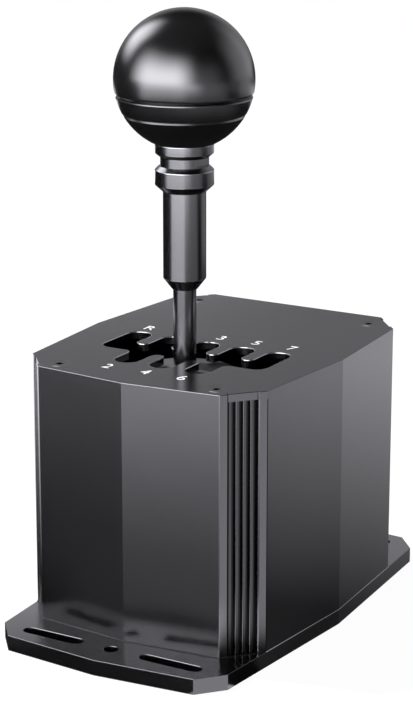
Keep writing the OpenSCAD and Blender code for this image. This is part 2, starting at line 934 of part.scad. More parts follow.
module rod_bore(from, to) {
    translate([0, 0, from - over]) cylinder(d = rod_d + 2 * press_play, h = to - from + 2 * over);
}

module rod_lock_nut() {
    foot = pivot_z + hub_up;
    color(steel) translate([0, lever_y, 0]) difference() {
        translate([0, 0, foot]) cylinder(d = nut_flats / cos(30), h = nut_h, $fn = 6);
        rod_bore(foot, foot + nut_h);
    }
}

module detent_tube() {
    color(steel) at_pivot() difference() {
        union() {
            translate([0, 0, -tube_end]) cylinder(d = tube_d, h = tube_end - hub_down);
            translate([0, 0, -hub_down - over])
                cylinder(d = tube_thread_d, h = tube_thread + over - side_play);
        }
        translate([0, 0, -tube_end + lip_t]) cylinder(d = tube_bore, h = tube_end);
        translate([0, 0, -tube_end - over])
            cylinder(d = stem_d + 2 * run_play, h = lip_t + 2 * over);
    }
}

module detent_spring() {
    foot = -plunger_top + side_play;
    color(steel) at_pivot() translate([0, 0, foot])
        coil_spring(detent_spring_d, detent_wire, -tube_top - side_play - foot, detent_spring_n);
}

module detent_plunger() {
    color(brass) at_pivot() {
        translate([0, 0, -plunger_top - plunger_h]) cylinder(d = plunger_d, h = plunger_h);
        translate([0, 0, -tip_r + stem_d / 2]) {
            cylinder(d = stem_d, h = tip_r - plunger_top - stem_d / 2 - plunger_h / 2);
            sphere(d = stem_d);
        }
    }
}

// A domed shield round the gimbal's centre, which stays close under the gate as the lever tilts
module dust_dome() {
    top = sqrt(pow(dome_r, 2) - pow(rod_d / 2, 2));
    color(black) at_pivot() difference() {
        union() {
            intersection() {
                difference() {
                    sphere(r = dome_r);
                    sphere(r = dome_r - dome_t);
                }
                cylinder(d = dome_d, h = dome_r + over);
            }
            translate([0, 0, top - dome_t - dome_hub_h])
                cylinder(d = dome_hub_d, h = dome_hub_h + dome_t / 2);
        }
        rod_bore(top - dome_t - dome_hub_h, dome_r);
    }
}

module lever_sleeve() {
    color(black) translate([0, lever_y, 0]) difference() {
        translate([0, 0, sleeve_z]) rotate_extrude()
            polygon([[0, 0], [rod_d / 2 + sleeve_edge, 0], [sleeve_d / 2, sleeve_cone],
                [sleeve_d / 2, sleeve_len], [0, sleeve_len]]);
        rod_bore(sleeve_z, collar_z);
    }
}

module lock_collar() {
    upper = collar_d / 2 - small_bevel;
    color(black) translate([0, lever_y, 0]) difference() {
        translate([0, 0, collar_z]) rotate_extrude()
            polygon([[0, 0], [sleeve_d / 2, 0], [collar_d / 2, collar_bevel],
                [collar_d / 2, collar_h - small_bevel], [upper, collar_h], [0, collar_h]]);
        rod_bore(collar_z, neck_z);
    }
}

module knob_adapter() {
    color(black) translate([0, lever_y, 0]) difference() {
        translate([0, 0, neck_z]) {
            intersection() {
                cylinder(d = neck_d, h = neck_h);
                translate([-neck_flats / 2, -neck_d, 0]) cube([neck_flats, 2 * neck_d, neck_h]);
            }
            translate([0, 0, neck_h]) rotate_extrude()
                polygon([[0, 0], [neck_d / 2, 0], [collar_d / 2, small_bevel],
                    [collar_d / 2, flange_h], [0, flange_h]]);
        }
        rod_bore(neck_z, knob_z);
    }
}

module knob_insert() {
    color(brass) translate([0, lever_y, 0]) difference() {
        translate([0, 0, knob_z]) cylinder(d = insert_d, h = ball_z - insert_cut - knob_z);
        rod_bore(knob_z, rod_top);
    }
}

// A slice of the ball, from one depth below its centre up to another
module ball_slice(lower, upper) {
    intersection() {
        sphere(d = ball_d);
        translate([0, 0, -lower]) cylinder(d = ball_d + 2 * over, h = lower - upper);
    }
}

module at_ball() {
    translate([0, lever_y, ball_z]) children();
}

module knob_base() {
    lower = ball_z - knob_z;
    rim = ball_rim(ring_cut + knob_bevel);
    lean = bevel_lean * knob_bevel;
    color(black) at_ball() difference() {
        union() {
            intersection() {
                ball_slice(lower, ring_cut);
                translate([0, 0, -ring_cut - 2 * knob_bevel])
                    cylinder(r1 = rim + lean, r2 = rim - lean, h = 2 * knob_bevel);
            }
            ball_slice(lower, ring_cut + knob_bevel);
            translate([0, 0, -ring_cut - over]) cylinder(d = spigot_d, h = ring_cut + over);
        }
        translate([0, 0, -lower - over])
            cylinder(d = insert_d + 2 * press_play, h = lower - insert_cut + over + side_play);
    }
}

module knob_ring() {
    ring_top = dome_cut + knob_gap;
    color(black) at_ball() difference() {
        union() {
            ball_slice(ring_cut, ring_top);
            translate([0, 0, -ring_top - over])
                cylinder(r = ball_rim(ring_top) - knob_groove, h = knob_gap + over);
        }
        translate([0, 0, -ring_cut - over])
            cylinder(d = spigot_d + 2 * press_play, h = ring_cut + 2 * over);
    }
}

module knob_dome() {
    color(black) at_ball() difference() {
        ball_slice(dome_cut, -ball_d / 2);
        translate([0, 0, -dome_cut - over])
            cylinder(d = spigot_d + 2 * press_play, h = dome_cut + over + side_play);
    }
}

base_plate();
housing();
top_plate();
top_screws();
base_screws();
front_pillar();
rear_pillar();
pillar_screws();
front_select_bush();
rear_select_bush();
detent_block();
detent_block_screws();
left_spring_post();
right_spring_post();
left_centring_spring();
right_centring_spring();
select_sensor_board();
select_sensor_chip();
select_sensor_spacers();
select_sensor_screws();
controller_board();
board_components();
board_standoffs();
board_screws();
rear_socket();
gimbal_yoke();
front_select_pin();
rear_select_pin();
select_magnet();
left_shift_bush();
right_shift_bush();
shift_sensor_board();
shift_sensor_chip();
shift_sensor_spacers();
shift_sensor_screws();
lever_hub();
shift_axle();
axle_clips();
shift_magnet();
lever_rod();
rod_lock_nut();
detent_tube();
detent_spring();
dust_dome();
lever_sleeve();
lock_collar();
knob_adapter();
knob_insert();
knob_base();
knob_ring();
knob_dome();
detent_plunger();
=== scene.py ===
import math

import bmesh
import bpy
from mathutils import Matrix, Vector


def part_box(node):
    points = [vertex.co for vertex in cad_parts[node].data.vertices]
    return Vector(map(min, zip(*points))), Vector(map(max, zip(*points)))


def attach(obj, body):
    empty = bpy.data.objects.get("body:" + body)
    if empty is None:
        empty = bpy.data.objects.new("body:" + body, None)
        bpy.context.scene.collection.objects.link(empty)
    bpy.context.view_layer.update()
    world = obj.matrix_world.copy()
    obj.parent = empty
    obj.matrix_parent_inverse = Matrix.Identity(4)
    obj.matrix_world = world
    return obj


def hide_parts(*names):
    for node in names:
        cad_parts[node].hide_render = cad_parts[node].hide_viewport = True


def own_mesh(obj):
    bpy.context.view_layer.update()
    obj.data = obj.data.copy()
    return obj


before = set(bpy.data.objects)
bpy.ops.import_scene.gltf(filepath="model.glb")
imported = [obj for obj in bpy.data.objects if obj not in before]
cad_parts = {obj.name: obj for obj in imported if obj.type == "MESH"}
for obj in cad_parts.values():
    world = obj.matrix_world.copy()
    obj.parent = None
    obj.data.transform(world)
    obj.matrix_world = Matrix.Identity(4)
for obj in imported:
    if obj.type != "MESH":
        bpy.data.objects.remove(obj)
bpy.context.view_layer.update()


# Base plate: a 6 mm aluminium plate, milled to its outline and slots, bead blasted and anodised dark grey.
# Its edges are broken with a small chamfer after blasting, so they shine. It lies on the table and is
# bolted down through the slots at both ends.
class Shade:
    """A socket in a material's nodes. Sums with other sockets and with numbers add Math nodes."""

    def __init__(self, tree, socket=None):
        self.tree = tree
        self.socket = socket

    def node(self, kind, settings=None, inputs=None, out=0):
        """Adds a node, sets its settings and then its inputs, and gives its output."""
        made = self.tree.nodes.new("ShaderNode" + kind)
        for name, value in (settings or {}).items():
            setattr(made, name, value)
        for name, value in (inputs or {}).items():
            if isinstance(value, Shade):
                self.tree.links.new(value.socket, made.inputs[name])
            else:
                made.inputs[name].default_value = value
        return Shade(self.tree, made.outputs[out])

    def math(self, operation, *values):
        """Adds a Math node."""
        return self.node("Math", {"operation": operation}, dict(enumerate(values)))

    def __add__(self, other):
        return self.math("ADD", self, other)

    def __sub__(self, other):
        return self.math("SUBTRACT", self, other)

    def __rsub__(self, other):
        return self.math("SUBTRACT", other, self)

    def __mul__(self, other):
        return self.math("MULTIPLY", self, other)

    __radd__ = __add__
    __rmul__ = __mul__

    def step(self, low, high):
        """Goes smoothly from 0 to 1 as this value goes from low to high."""
        return self.node("MapRange", {"interpolation_type": "SMOOTHSTEP"}, {0: self, 1: low, 2: high})

    def mix(self, first, second):
        """A colour between two others, by this value."""
        return self.node("Mix", {"data_type": "RGBA"}, {0: self, 6: first, 7: second}, out=2)

    def noise(self, scale, detail=2.0, stretch=(1, 1, 1)):
        """Noise from 0 to 1 on the piece's own coordinates, with so many bumps to a metre."""
        place = self.node("TexCoord", out="Object")
        place = self.node("Mapping", {"vector_type": "POINT"}, {"Vector": place, "Scale": stretch})
        return self.node("TexNoise", {}, {"Vector": place, "Scale": scale, "Detail": detail})

    def mark(self, name):
        """How strongly the faces are marked with a name."""
        return self.node("Attribute", {"attribute_name": name}, out="Fac")

    def bump(self, strength, distance):
        """A normal that is tilted by this value, taken as a height."""
        return self.node("Bump", {}, {"Strength": strength, "Distance": distance, "Height": self})


def new_material(name, **constants):
    """A material, its Principled node, and a Shade to build on. The constants are set on the node."""
    material = bpy.data.materials.new(name)
    material.use_nodes = True
    shader = material.node_tree.nodes["Principled BSDF"]
    for socket, value in constants.items():
        shader.inputs[socket.replace("_", " ")].default_value = value
    return material, shader, Shade(material.node_tree)


def feed(shader, **links):
    """Links sockets to the inputs of a Principled node."""
    for name, value in links.items():
        value.tree.links.new(value.socket, shader.inputs[name.replace("_", " ")])


def anodised(name, grey, shine, streak):
    """Satin anodised aluminium: a fine grain, cloudy dye, bare bright edges, and painted shade on marked
    faces.
    """
    material, shader, s = new_material(name, Metallic=1.0)
    grain = s.noise(4200, 2.0, streak)
    cloud = s.noise(60, 3.0)
    bare, unlit = (0.5, 0.5, 0.51, 1), (0.003, 0.003, 0.003, 1)
    thin_dye, full_dye = ((grey * k, grey * k, grey * (k + 0.02), 1) for k in (0.95, 1.05))
    dye = cloud.mix(thin_dye, full_dye)
    # Faces marked with painted shade are mixed towards near black.
    feed(shader, Base_Color=s.mark("painted_shade").mix(s.mark("edge").mix(dye, bare), unlit),
         Roughness=shine + (grain - 0.5) * 0.03 + (cloud - 0.5) * 0.02,
         Normal=grain.bump(0.01, 0.000005))
    return material


def add_piece(bm, name, material, body, slot, *nodes, crease=40):
    """Makes a piece of a bmesh that rides on a body. It is smooth but for edges sharper than the crease."""
    mesh = bpy.data.meshes.new(name)
    bm.to_mesh(mesh)
    bm.free()
    mesh.materials.append(material)
    mesh.polygons.foreach_set("use_smooth", [True] * len(mesh.polygons))
    mesh.set_sharp_from_angle(angle=math.radians(crease))
    piece = bpy.data.objects.new(name, mesh)
    bpy.context.scene.collection.objects.link(piece)
    flat = piece.modifiers.new("flat faces", "WEIGHTED_NORMAL")
    flat.keep_sharp = True
    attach(piece, body)
    if nodes:
        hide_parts(*nodes)
    return piece


def merged_copy(node):
    """The CAD node's mesh with its triangles joined into whole faces."""
    bm = bmesh.new()
    bm.from_mesh(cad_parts[node].data)
    bmesh.ops.remove_doubles(bm, verts=bm.verts, dist=2e-6)
    bmesh.ops.dissolve_limit(bm, angle_limit=math.radians(0.4), verts=bm.verts, edges=bm.edges)
    return bm


def break_edges(bm, width, wanted=lambda edge: True, sharp=25, segments=2, bare=1.0):
    """Chamfers the sharp edges that are wanted, and marks how bare the new faces are."""
    layer = bm.faces.layers.float.get("edge") or bm.faces.layers.float.new("edge")
    chosen = [e for e in bm.edges if e.is_manifold and e.calc_face_angle() > math.radians(sharp)
              and e.is_convex and wanted(e)]
    made = bmesh.ops.bevel(bm, geom=chosen, offset=width, offset_type="OFFSET", affect="EDGES",
                           segments=segments, profile=0.5, material=-1, clamp_overlap=True)
    for face in made["faces"]:
        face[layer] = bare


def level(edge, z):
    """Whether an edge lies at a height."""
    return all(abs(v.co.z - z) < 1e-5 for v in edge.verts)


plate_t = 0.006
slot_end_x, slot_from_y, slot_to_y = 0.0405, 0.0745, 0.0811
slot_chamfer, rim_chamfer = 0.0002, 0.0003
dye_grey, blasted_shine, facet_crease = 0.06, 0.22, 7


def in_slot(edge):
    """Whether an edge of the base belongs to a bolt slot or hole."""
    return all(abs(v.co.x) < slot_end_x and slot_from_y < abs(v.co.y) < slot_to_y for v in edge.verts)


bm = merged_copy("base_plate")
break_edges(bm, slot_chamfer, lambda e: level(e, plate_t) and in_slot(e), bare=0.05)
break_edges(bm, rim_chamfer, lambda e: level(e, plate_t) and not in_slot(e), bare=0.12)
blasted = anodised("blasted_anodised", dye_grey, blasted_shine, (1, 1, 1))
add_piece(bm, "base_plate_dressed", blasted, "frame", "anodised_body", "base_plate", crease=facet_crease)


# Housing: an extruded aluminium box, cut to length, with a V-shaped front and sides, anodised like the base.
# Each chamfered corner has a slit, a recess and four grooves in painted shade, and a line painted dark at its
# far edge.
# Screws from below and above run in four columns inside the corners.
housing_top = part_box("housing")[1].z
corner_way, corner_reach, corner_start, corner_end = (0.755, 0.655), 0.07226, 0.02372, (0.0511, 0.0514)
slit_from, slit_to, recess_end, line_half = 0.0031, 0.0038, 0.0148, 0.0004
recess_d, groove_from_d, groove_to_d = 0.0006, 0.0007, 0.0025
recess_chamfer, body_chamfer, drawn_shine = 0.0007, 0.0004, 0.2
# Strength of the painted shade: in the slit and on the far edge line, in the grooves, and on the recess
# floor.
black, shaded, dim = 1.0, 0.8, 0.46
slack, skin, near = 0.0001, 0.00002, 0.00003


def in_corner(place):
    """How far a place lies along its chamfered corner, from the housing's end, and how deep in it."""
    x, y = abs(place.x), abs(place.y)
    along = corner_start + x * corner_way[1] - y * corner_way[0]
    return along, corner_reach - x * corner_way[0] - y * corner_way[1]


def at_recess_end(edge):
    """Whether an edge is the recess's far edge, beside the last groove."""
    places = [in_corner(v.co) for v in edge.verts]
    return all(abs(along - recess_end) < slack and abs(depth) < slack for along, depth in places)


def painted_shade_at(place, way):
    """How much painted shade a face of the housing gets, by its middle and its normal."""
    along, depth = in_corner(place)
    to_end = way.y * math.copysign(corner_way[0], place.y) - way.x * math.copysign(corner_way[1], place.x)
    # The line along the corner's far edge is painted black.
    if all(abs(abs(at) - end) < line_half for at, end in zip(place.xy, corner_end)):
        return black
    if abs(way.z) > 0.1 or not slit_from < along < recess_end + slack:
        return 0.0
    # The slit is painted black as shade, the recess floor gets lighter painted shade, and the grooves get
    # painted shade but for their lit rib edges.
    if along < slit_to and skin < depth < groove_to_d:
        return black
    if abs(depth - recess_d) < near:
        return dim
    lit_rib_edge = 0.2 < to_end < 0.98
    return shaded if groove_from_d < depth < groove_to_d and not lit_rib_edge else 0.0


bm = merged_copy("housing")
break_edges(bm, recess_chamfer, at_recess_end, bare=0.03)
break_edges(bm, body_chamfer, lambda e: not level(e, housing_top), sharp=35, bare=0.1)
# Painted shade: the slits, recess floors and grooves are darkened, and the far edge lines are painted dark.
painted_shade = bm.faces.layers.float.new("painted_shade")
for face in bm.faces:
    face[painted_shade] = painted_shade_at(face.calc_center_median(), face.normal)
drawn = anodised("drawn_anodised", dye_grey, drawn_shine, (1, 1, 0.1))
add_piece(bm, "housing_dressed", drawn, "frame", "anodised_body", "housing", crease=facet_crease)


# Foot line: the fine bare lip of aluminium that is left round the housing's foot where it was cut to length.
# It lies on the base and catches the light as a thin line.
lip, crest, lip_bare = 0.00025, 0.00005, 0.28
half_w, half_l = 0.055, 0.067
half_outline = ((0, -69.1), (39.05, -65.3), (51.1, -51.4), (54.75, 0), (51.1, 51.4), (39.05, 65.3))
bm = bmesh.new()
right = [bm.verts.new((x / 1000, y / 1000, plate_t)) for x, y in half_outline]
left = [bm.verts.new((-x / 1000, y / 1000, plate_t)) for x, y in half_outline[:0:-1]]
foot = bm.faces.new(right + left)
bmesh.ops.scale(bm, verts=bm.verts, vec=(1 + lip / half_w, 1 + lip / half_l, 1))
for width, rise in ((lip, lip), (crest, -lip)):
    bmesh.ops.inset_region(bm, faces=[foot], thickness=width, depth=rise, use_even_offset=True,
                           use_boundary=True)
bmesh.ops.delete(bm, geom=[foot], context="FACES_ONLY")
bmesh.ops.bridge_loops(bm, edges=[e for e in bm.edges if e.is_boundary])
bmesh.ops.recalc_face_normals(bm, faces=bm.faces)
layer = bm.faces.layers.float.new("edge")
for face in bm.faces:
    face[layer] = lip_bare
add_piece(bm, "foot_line", blasted, "frame", "anodised_body", crease=facet_crease)


# Screws from below: countersunk socket screws, zinc plated, flush with the underside. They hold the housing,
# the two pillars and the detent block on the base.
def plated(name, colour, shine, scratch):
    """Plain metal: turned, drawn or plated, with fine scratches and a little tarnish."""
    material, shader, s = new_material(name, Metallic=1.0)
    lines = s.noise(2600, 2.0, scratch)
    tarnish = s.noise(240, 3.0)
    dark = tuple(c * 0.86 for c in colour)
    feed(shader, Base_Color=tarnish.mix((*dark, 1), (*colour, 1)),
         Roughness=shine + (lines - 0.5) * 0.14 + (tarnish - 0.5) * 0.06,
         Normal=lines.bump(0.06, 0.00004))
    return material


def dress(material, *nodes):
    """Gives CAD nodes a material."""
    for node in nodes:
        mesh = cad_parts[node].data
        mesh.materials.clear()
        mesh.materials.append(material)


zinc = plated("zinc_plate", (0.56, 0.57, 0.58), 0.34, (1, 1, 0.2))
dress(zinc, "base_screws", "pillar_screws", "detent_block_screws")


# Pillars: two milled aluminium uprights, screwed to the base in front of and behind the gimbal. A sintered
# bronze bush with a flange is pressed into each, and the yoke's select pins turn in them.
milled = plated("milled_aluminium", (0.58, 0.58, 0.6), 0.3, (1, 0.05, 1))
for node in ("front_pillar", "rear_pillar"):
    bm = merged_copy(node)
    break_edges(bm, width=0.0003)
    add_piece(bm, node + "_dressed", milled, "frame", "plain_aluminium", node)
bronze = plated("sintered_bronze", (0.5, 0.34, 0.17), 0.42, (1, 1, 1))
dress(bronze, "front_select_bush", "rear_select_bush", "left_shift_bush", "right_shift_bush")


# Detent block: a block of black acetal under the lever, with a bowl and a dimple for each gear. Two screws
# from below hold it on the base.
def moulded(name, colour, shine):
    """Plastic with the fine texture of its mould."""
    material, shader, s = new_material(name, Specular_IOR_Level=0.5)
    texture = s.noise(3000, 3.0)
    cloud = s.noise(120, 2.0)
    light = tuple(c * 1.3 for c in colour)
    feed(shader, Base_Color=cloud.mix((*colour, 1), (*light, 1)),
         Roughness=shine + (texture - 0.5) * 0.12,
         Normal=texture.bump(0.12, 0.00005))
    return material


acetal = moulded("black_acetal", (0.016, 0.016, 0.017), 0.42)
bm = merged_copy("detent_block")
break_edges(bm, width=0.0004, sharp=60)
add_piece(bm, "detent_block_dressed", acetal, "frame", "black_plastic", "detent_block")


# Spring posts and centring springs: a turned steel post on each side carries a compression spring of round
# wire with closed ends. The springs push on the yoke's arms, so the lever comes back to the middle.
ground = plated("ground_steel", (0.6, 0.61, 0.62), 0.24, (1, 1, 0.04))
dress(ground, "left_spring_post", "right_spring_post")
wire_steel = plated("spring_wire", (0.4, 0.41, 0.43), 0.3, (1, 1, 1))


def coil(bm, mean_r, wire_d, foot, height, turns, closed):
    """Winds a spring round +Z from foot upwards, with so many closed turns at each end."""
    rise = height - wire_d
    shut, wire_sides, turn_steps = wire_d * 1.04, 10, 28
    open_pitch = (rise - 2 * closed * shut) / (turns - 2 * closed)
    start = Matrix.Translation(foot + Vector((mean_r, 0, wire_d / 2))) @ Matrix.Rotation(math.pi / 2, 4, "X")
    ring = bmesh.ops.create_circle(bm, cap_ends=True, segments=wire_sides, radius=wire_d / 2,
                                   matrix=start)["verts"]
    last = list({f for v in ring for f in v.link_faces})
    for curls, pitch in ((closed, shut), (turns - 2 * closed, open_pitch), (closed, shut)):
        steps = int(curls * turn_steps)
        made = bmesh.ops.spin(bm, geom=last, cent=foot, axis=(0, 0, 1), dvec=(0, 0, pitch * curls / steps),
                              angle=2 * math.pi * curls, steps=steps, use_duplicate=False)
        last = [g for g in made["geom_last"] if isinstance(g, bmesh.types.BMFace)]
    bmesh.ops.recalc_face_normals(bm, faces=bm.faces)


def wind(node, body, mean_r, wire_d, turns):
    """Winds a spring in the place of a CAD spring, and gives it with the middles of its two ends."""
    low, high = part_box(node)
    foot = Vector(((low.x + high.x) / 2, (low.y + high.y) / 2, low.z))
    bm = bmesh.new()
    coil(bm, mean_r, wire_d, foot, high.z - low.z, turns, closed=1)
    piece = add_piece(bm, node + "_wound", wire_steel, body, "spring_steel", node)
    return piece, foot, Vector((foot.x, foot.y, high.z))


for node in ("left_centring_spring", "right_centring_spring"):
    spring, foot, _ = wind(node, "frame", mean_r=0.004, wire_d=0.0012, turns=8)
    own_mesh(spring)


# Circuit boards: green solder mask on glass fibre. The controller stands on four brass standoffs behind the
# gimbal, and a sensor board faces a magnet on each axis. Chips and plugs are black, screws zinc plated.
mask, shader, s = new_material("solder_mask", Specular_IOR_Level=0.5)
place = s.node("TexCoord", out="Object")
tracks = s.node("TexBrick", {"offset": 0.5},
                {"Vector": place, "Scale": 340.0, "Mortar Size": 0.06, "Color1": (0, 0, 0, 1),
                 "Color2": (0, 0, 0, 1), "Mortar": (1, 1, 1, 1)}, out="Fac")
weave = s.noise(1400, 2.0)
feed(shader, Base_Color=tracks.mix((0.01, 0.085, 0.04, 1), (0.03, 0.17, 0.08, 1)),
     Roughness=0.3 + (weave - 0.5) * 0.1,
     Normal=(tracks + weave * 0.3).bump(0.2, 0.00003))
dress(mask, "controller_board", "select_sensor_board", "shift_sensor_board")
dress(acetal, "board_components", "select_sensor_chip", "shift_sensor_chip")
brass = plated("turned_brass", (0.72, 0.53, 0.24), 0.26, (1, 1, 0.05))
dress(brass, "board_standoffs", "knob_insert", "detent_plunger")
dress(zinc, "board_screws", "select_sensor_screws", "shift_sensor_screws",
      "select_sensor_spacers", "shift_sensor_spacers")


# Rear socket: a pressed steel shell with a tongue, soldered to the controller board. Its mouth is flush with
# the opening in the back wall.
bm = merged_copy("rear_socket")
break_edges(bm, width=0.0001)
add_piece(bm, "rear_socket_dressed", ground, "frame", "steel", "rear_socket")


# Gimbal: a milled aluminium yoke on two pressed steel pins. Two bushes in it carry the shift axle, and the
# two arms underneath press on the centring springs.
bm = merged_copy("gimbal_yoke")
break_edges(bm, width=0.0004)
add_piece(bm, "gimbal_yoke_dressed", milled, "gimbal", "plain_aluminium", "gimbal_yoke")
dress(ground, "front_select_pin", "rear_select_pin", "select_magnet", "shift_axle", "axle_clips",
      "shift_magnet")


# Lever hub and detent: a milled block on the shift axle. The rod screws into its top against a lock nut, and
# a steel tube with a spring and a brass plunger screws into its underside.
bm = merged_copy("lever_hub")
break_edges(bm, width=0.0004)
add_piece(bm, "lever_hub_dressed", milled, "lever", "plain_aluminium", "lever_hub")
bm = merged_copy("rod_lock_nut")
break_edges(bm, width=0.0003)
add_piece(bm, "rod_lock_nut_dressed", ground, "lever", "steel", "rod_lock_nut")
dress(ground, "detent_tube")
spring, _, head = wind("detent_spring", "lever", mean_r=0.0028, wire_d=0.0008, turns=6)
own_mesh(spring)


# Dust dome: a thin moulded cap on the rod, round the gimbal's centre. It stays close under the gate as the
# lever tilts, and hides the works.
bm = merged_copy("dust_dome")
shield = moulded("grey_shield", (0.05, 0.05, 0.051), 0.5)
add_piece(bm, "dust_dome_dressed", shield, "lever", "shield_plastic", "dust_dome")


# Top plate: 3 mm aluminium, cut with the shift gate, blasted and anodised with the housing. The gate's edges
# are rounded afterwards and shine. Four countersunk screws hold it, and its V-shaped edges have sharp ridges.
plate_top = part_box("top_plate")[1].z
gate_half, gate_y, gate_reach = 0.042, -0.024, 0.0235
gate_round, screw_chamfer, screw_reach = 0.0003, 0.0001, 0.005
side_ridge_x, end_ridge_y = 0.054, 0.06


def in_gate(edge):
    """Whether an edge of the top plate belongs to the gate."""
    return all(abs(v.co.x) < gate_half and abs(v.co.y - gate_y) < gate_reach for v in edge.verts)


screw_places = [Vector(place) for place in
                ((-0.034, -0.0586), (0.034, -0.0586), (-0.0392, 0.0533), (0.0392, 0.0533))]


def at_screw(edge):
    """Whether an edge of the top plate runs round a screw."""
    return all(min((v.co.xy - place).length for place in screw_places) < screw_reach for v in edge.verts)


bm = merged_copy("top_plate")
break_edges(bm, screw_chamfer, lambda e: level(e, plate_top) and at_screw(e), bare=0.1)
break_edges(bm, gate_round, lambda e: level(e, plate_top) and in_gate(e), segments=4, bare=0.55)
break_edges(bm, body_chamfer, lambda e: not (in_gate(e) or at_screw(e) or level(e, housing_top)),
            sharp=35, bare=0.1)
top = add_piece(bm, "top_plate_dressed", blasted, "frame", "anodised_body", "top_plate", crease=20)
for edge in top.data.edges:
    ends = [top.data.vertices[i].co for i in edge.vertices]
    if all(abs(v.x) > side_ridge_x or (abs(v.x) < 1e-4 and abs(v.y) > end_ridge_y) for v in ends):
        edge.use_edge_sharp = True


# Gear marks: R and 1 to 7 in white ink, printed on the top plate beside the ends of their lanes. The ink is
# a few hundredths of a millimetre thick and covers a little unevenly.
print_ink, shader, s = new_material("white_print", Specular_IOR_Level=0.4)
speckle = s.noise(2400, 3.0)
feed(shader, Base_Color=speckle.mix((0.78, 0.78, 0.78, 1), (0.9, 0.9, 0.9, 1)),
     Roughness=0.55 + (speckle - 0.5) * 0.2)
mark_h, capital, ink_t, ink_lift, thinning = 0.0055, 0.72, 0.00003, 0.00002, 0.00005
mark_places = {"R": (-32.5, 3.3), "1": (-15.6, 4.2), "3": (-0.2, 4.4), "5": (15.3, 4.7), "7": (30.6, 4.7),
               "2": (-16.4, -52.3), "4": (0.1, -52.2), "6": (15.8, -52.3)}
for mark, (x, y) in mark_places.items():
    letter = bpy.data.curves.new("letter", "FONT")
    letter.body = mark
    letter.align_x = "CENTER"
    letter.align_y = "CENTER"
    letter.size = mark_h / capital
    letter.extrude = ink_t
    letter.offset = -thinning
    shape = bpy.data.objects.new("letter", letter)
    bpy.context.scene.collection.objects.link(shape)
    bpy.context.view_layer.update()
    flat = shape.evaluated_get(bpy.context.evaluated_depsgraph_get()).to_mesh()
    bm = bmesh.new()
    bm.from_mesh(flat)
    bpy.data.objects.remove(shape)
    bmesh.ops.remove_doubles(bm, verts=bm.verts, dist=1e-7)
    middle = (max(v.co.y for v in bm.verts) + min(v.co.y for v in bm.verts)) / 2
    bmesh.ops.translate(bm, verts=bm.verts, vec=(x / 1000, y / 1000 - middle, plate_top + ink_lift))
    add_piece(bm, "mark_" + mark, print_ink, "frame", "anodised_body")


# Top screws: countersunk socket screws of plated steel, as dark as the plate and flush with it. They hold the
# plate on the housing's four columns.
head_rim_from, head_chamfer = 0.003, 0.00015


def on_head_rim(edge):
    """Whether an edge runs round a screw's head."""
    return level(edge, plate_top) and all(
        min((v.co.xy - place).length for place in screw_places) > head_rim_from for v in edge.verts)


bm = merged_copy("top_screws")
break_edges(bm, head_chamfer, on_head_rim, sharp=30, segments=3, bare=0.4)
add_piece(bm, "top_screws_dressed", blasted, "frame", "plate_screws", "top_screws")


# Lever rod: a turned and polished steel rod, dark chromed. It screws into the hub, and carries the sleeve
# and, at its top, the knob.
def turned(name, colour, shine):
    """Dark turned metal, polished, with the fine rings of the lathe round its axis."""
    material, shader, s = new_material(name, Metallic=1.0)
    rings = s.noise(3600, 2.0, (0.06, 0.06, 1))
    cloud = s.noise(90, 2.0)
    dark = tuple(c * 0.93 for c in colour)
    worn = (0.2, 0.2, 0.205, 1)
    feed(shader, Base_Color=s.mark("edge").mix(cloud.mix((*dark, 1), (*colour, 1)), worn),
         Roughness=shine + (rings - 0.5) * 0.05,
         Normal=rings.bump(0.04, 0.00003))
    return material


chromed = turned("dark_chrome", (0.086, 0.086, 0.0893), 0.21)
lever_y = -0.024


def lathe(profile, steps=96):
    """Turns a closed outline of (radius, height) round the lever's axis."""
    bm = bmesh.new()
    verts = [bm.verts.new((r, lever_y, z)) for r, z in profile]
    edges = [bm.edges.new((a, b)) for a, b in zip(verts, verts[1:] + verts[:1])]
    bmesh.ops.spin(bm, geom=verts + edges, cent=(0, lever_y, 0), axis=(0, 0, 1), angle=2 * math.pi,
                   steps=steps, use_merge=True, use_duplicate=False)
    bmesh.ops.remove_doubles(bm, verts=bm.verts, dist=1e-6)
    bmesh.ops.recalc_face_normals(bm, faces=bm.faces)
    return bm


low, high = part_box("lever_rod")
rod_r = (high.x - low.x) / 2
bm = lathe([(0, low.z), (rod_r, low.z), (rod_r, high.z), (0, high.z)])
break_edges(bm, width=0.0003, sharp=60)
add_piece(bm, "lever_rod_dressed", chromed, "lever", "dark_steel", "lever_rod")


# Lever sleeve, lock collar and knob adapter: turned aluminium, anodised dark and polished, stacked on the
# rod. The collar locks the adapter, which is a little darker than the sleeve and has two flats for a wrench.
gunmetal = turned("gunmetal", (0.12, 0.12, 0.1235), 0.2)
dark_gunmetal = turned("dark_gunmetal", (0.09, 0.09, 0.0925), 0.2)
play, turned_chamfer = 0.00002, 0.0002
bore = rod_r + play
low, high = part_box("lever_sleeve")
sleeve_r = (high.x - low.x) / 2
sleeve_foot_w, sleeve_foot_h, sleeve_cone = 0.0004, 0.006, 0.0042


def steepness(edge):
    """How much higher one end of an edge is than the other."""
    return abs(edge.verts[0].co.z - edge.verts[1].co.z)


bm = lathe([(bore, low.z), (bore + sleeve_foot_w, low.z), (sleeve_r, low.z + sleeve_cone), (sleeve_r, high.z),
            (bore, high.z)])
break_edges(bm, turned_chamfer, lambda e: e.verts[0].co.z < low.z + sleeve_foot_h and steepness(e) < 1e-6)
add_piece(bm, "lever_sleeve_dressed", gunmetal, "lever", "lever_metal", "lever_sleeve")

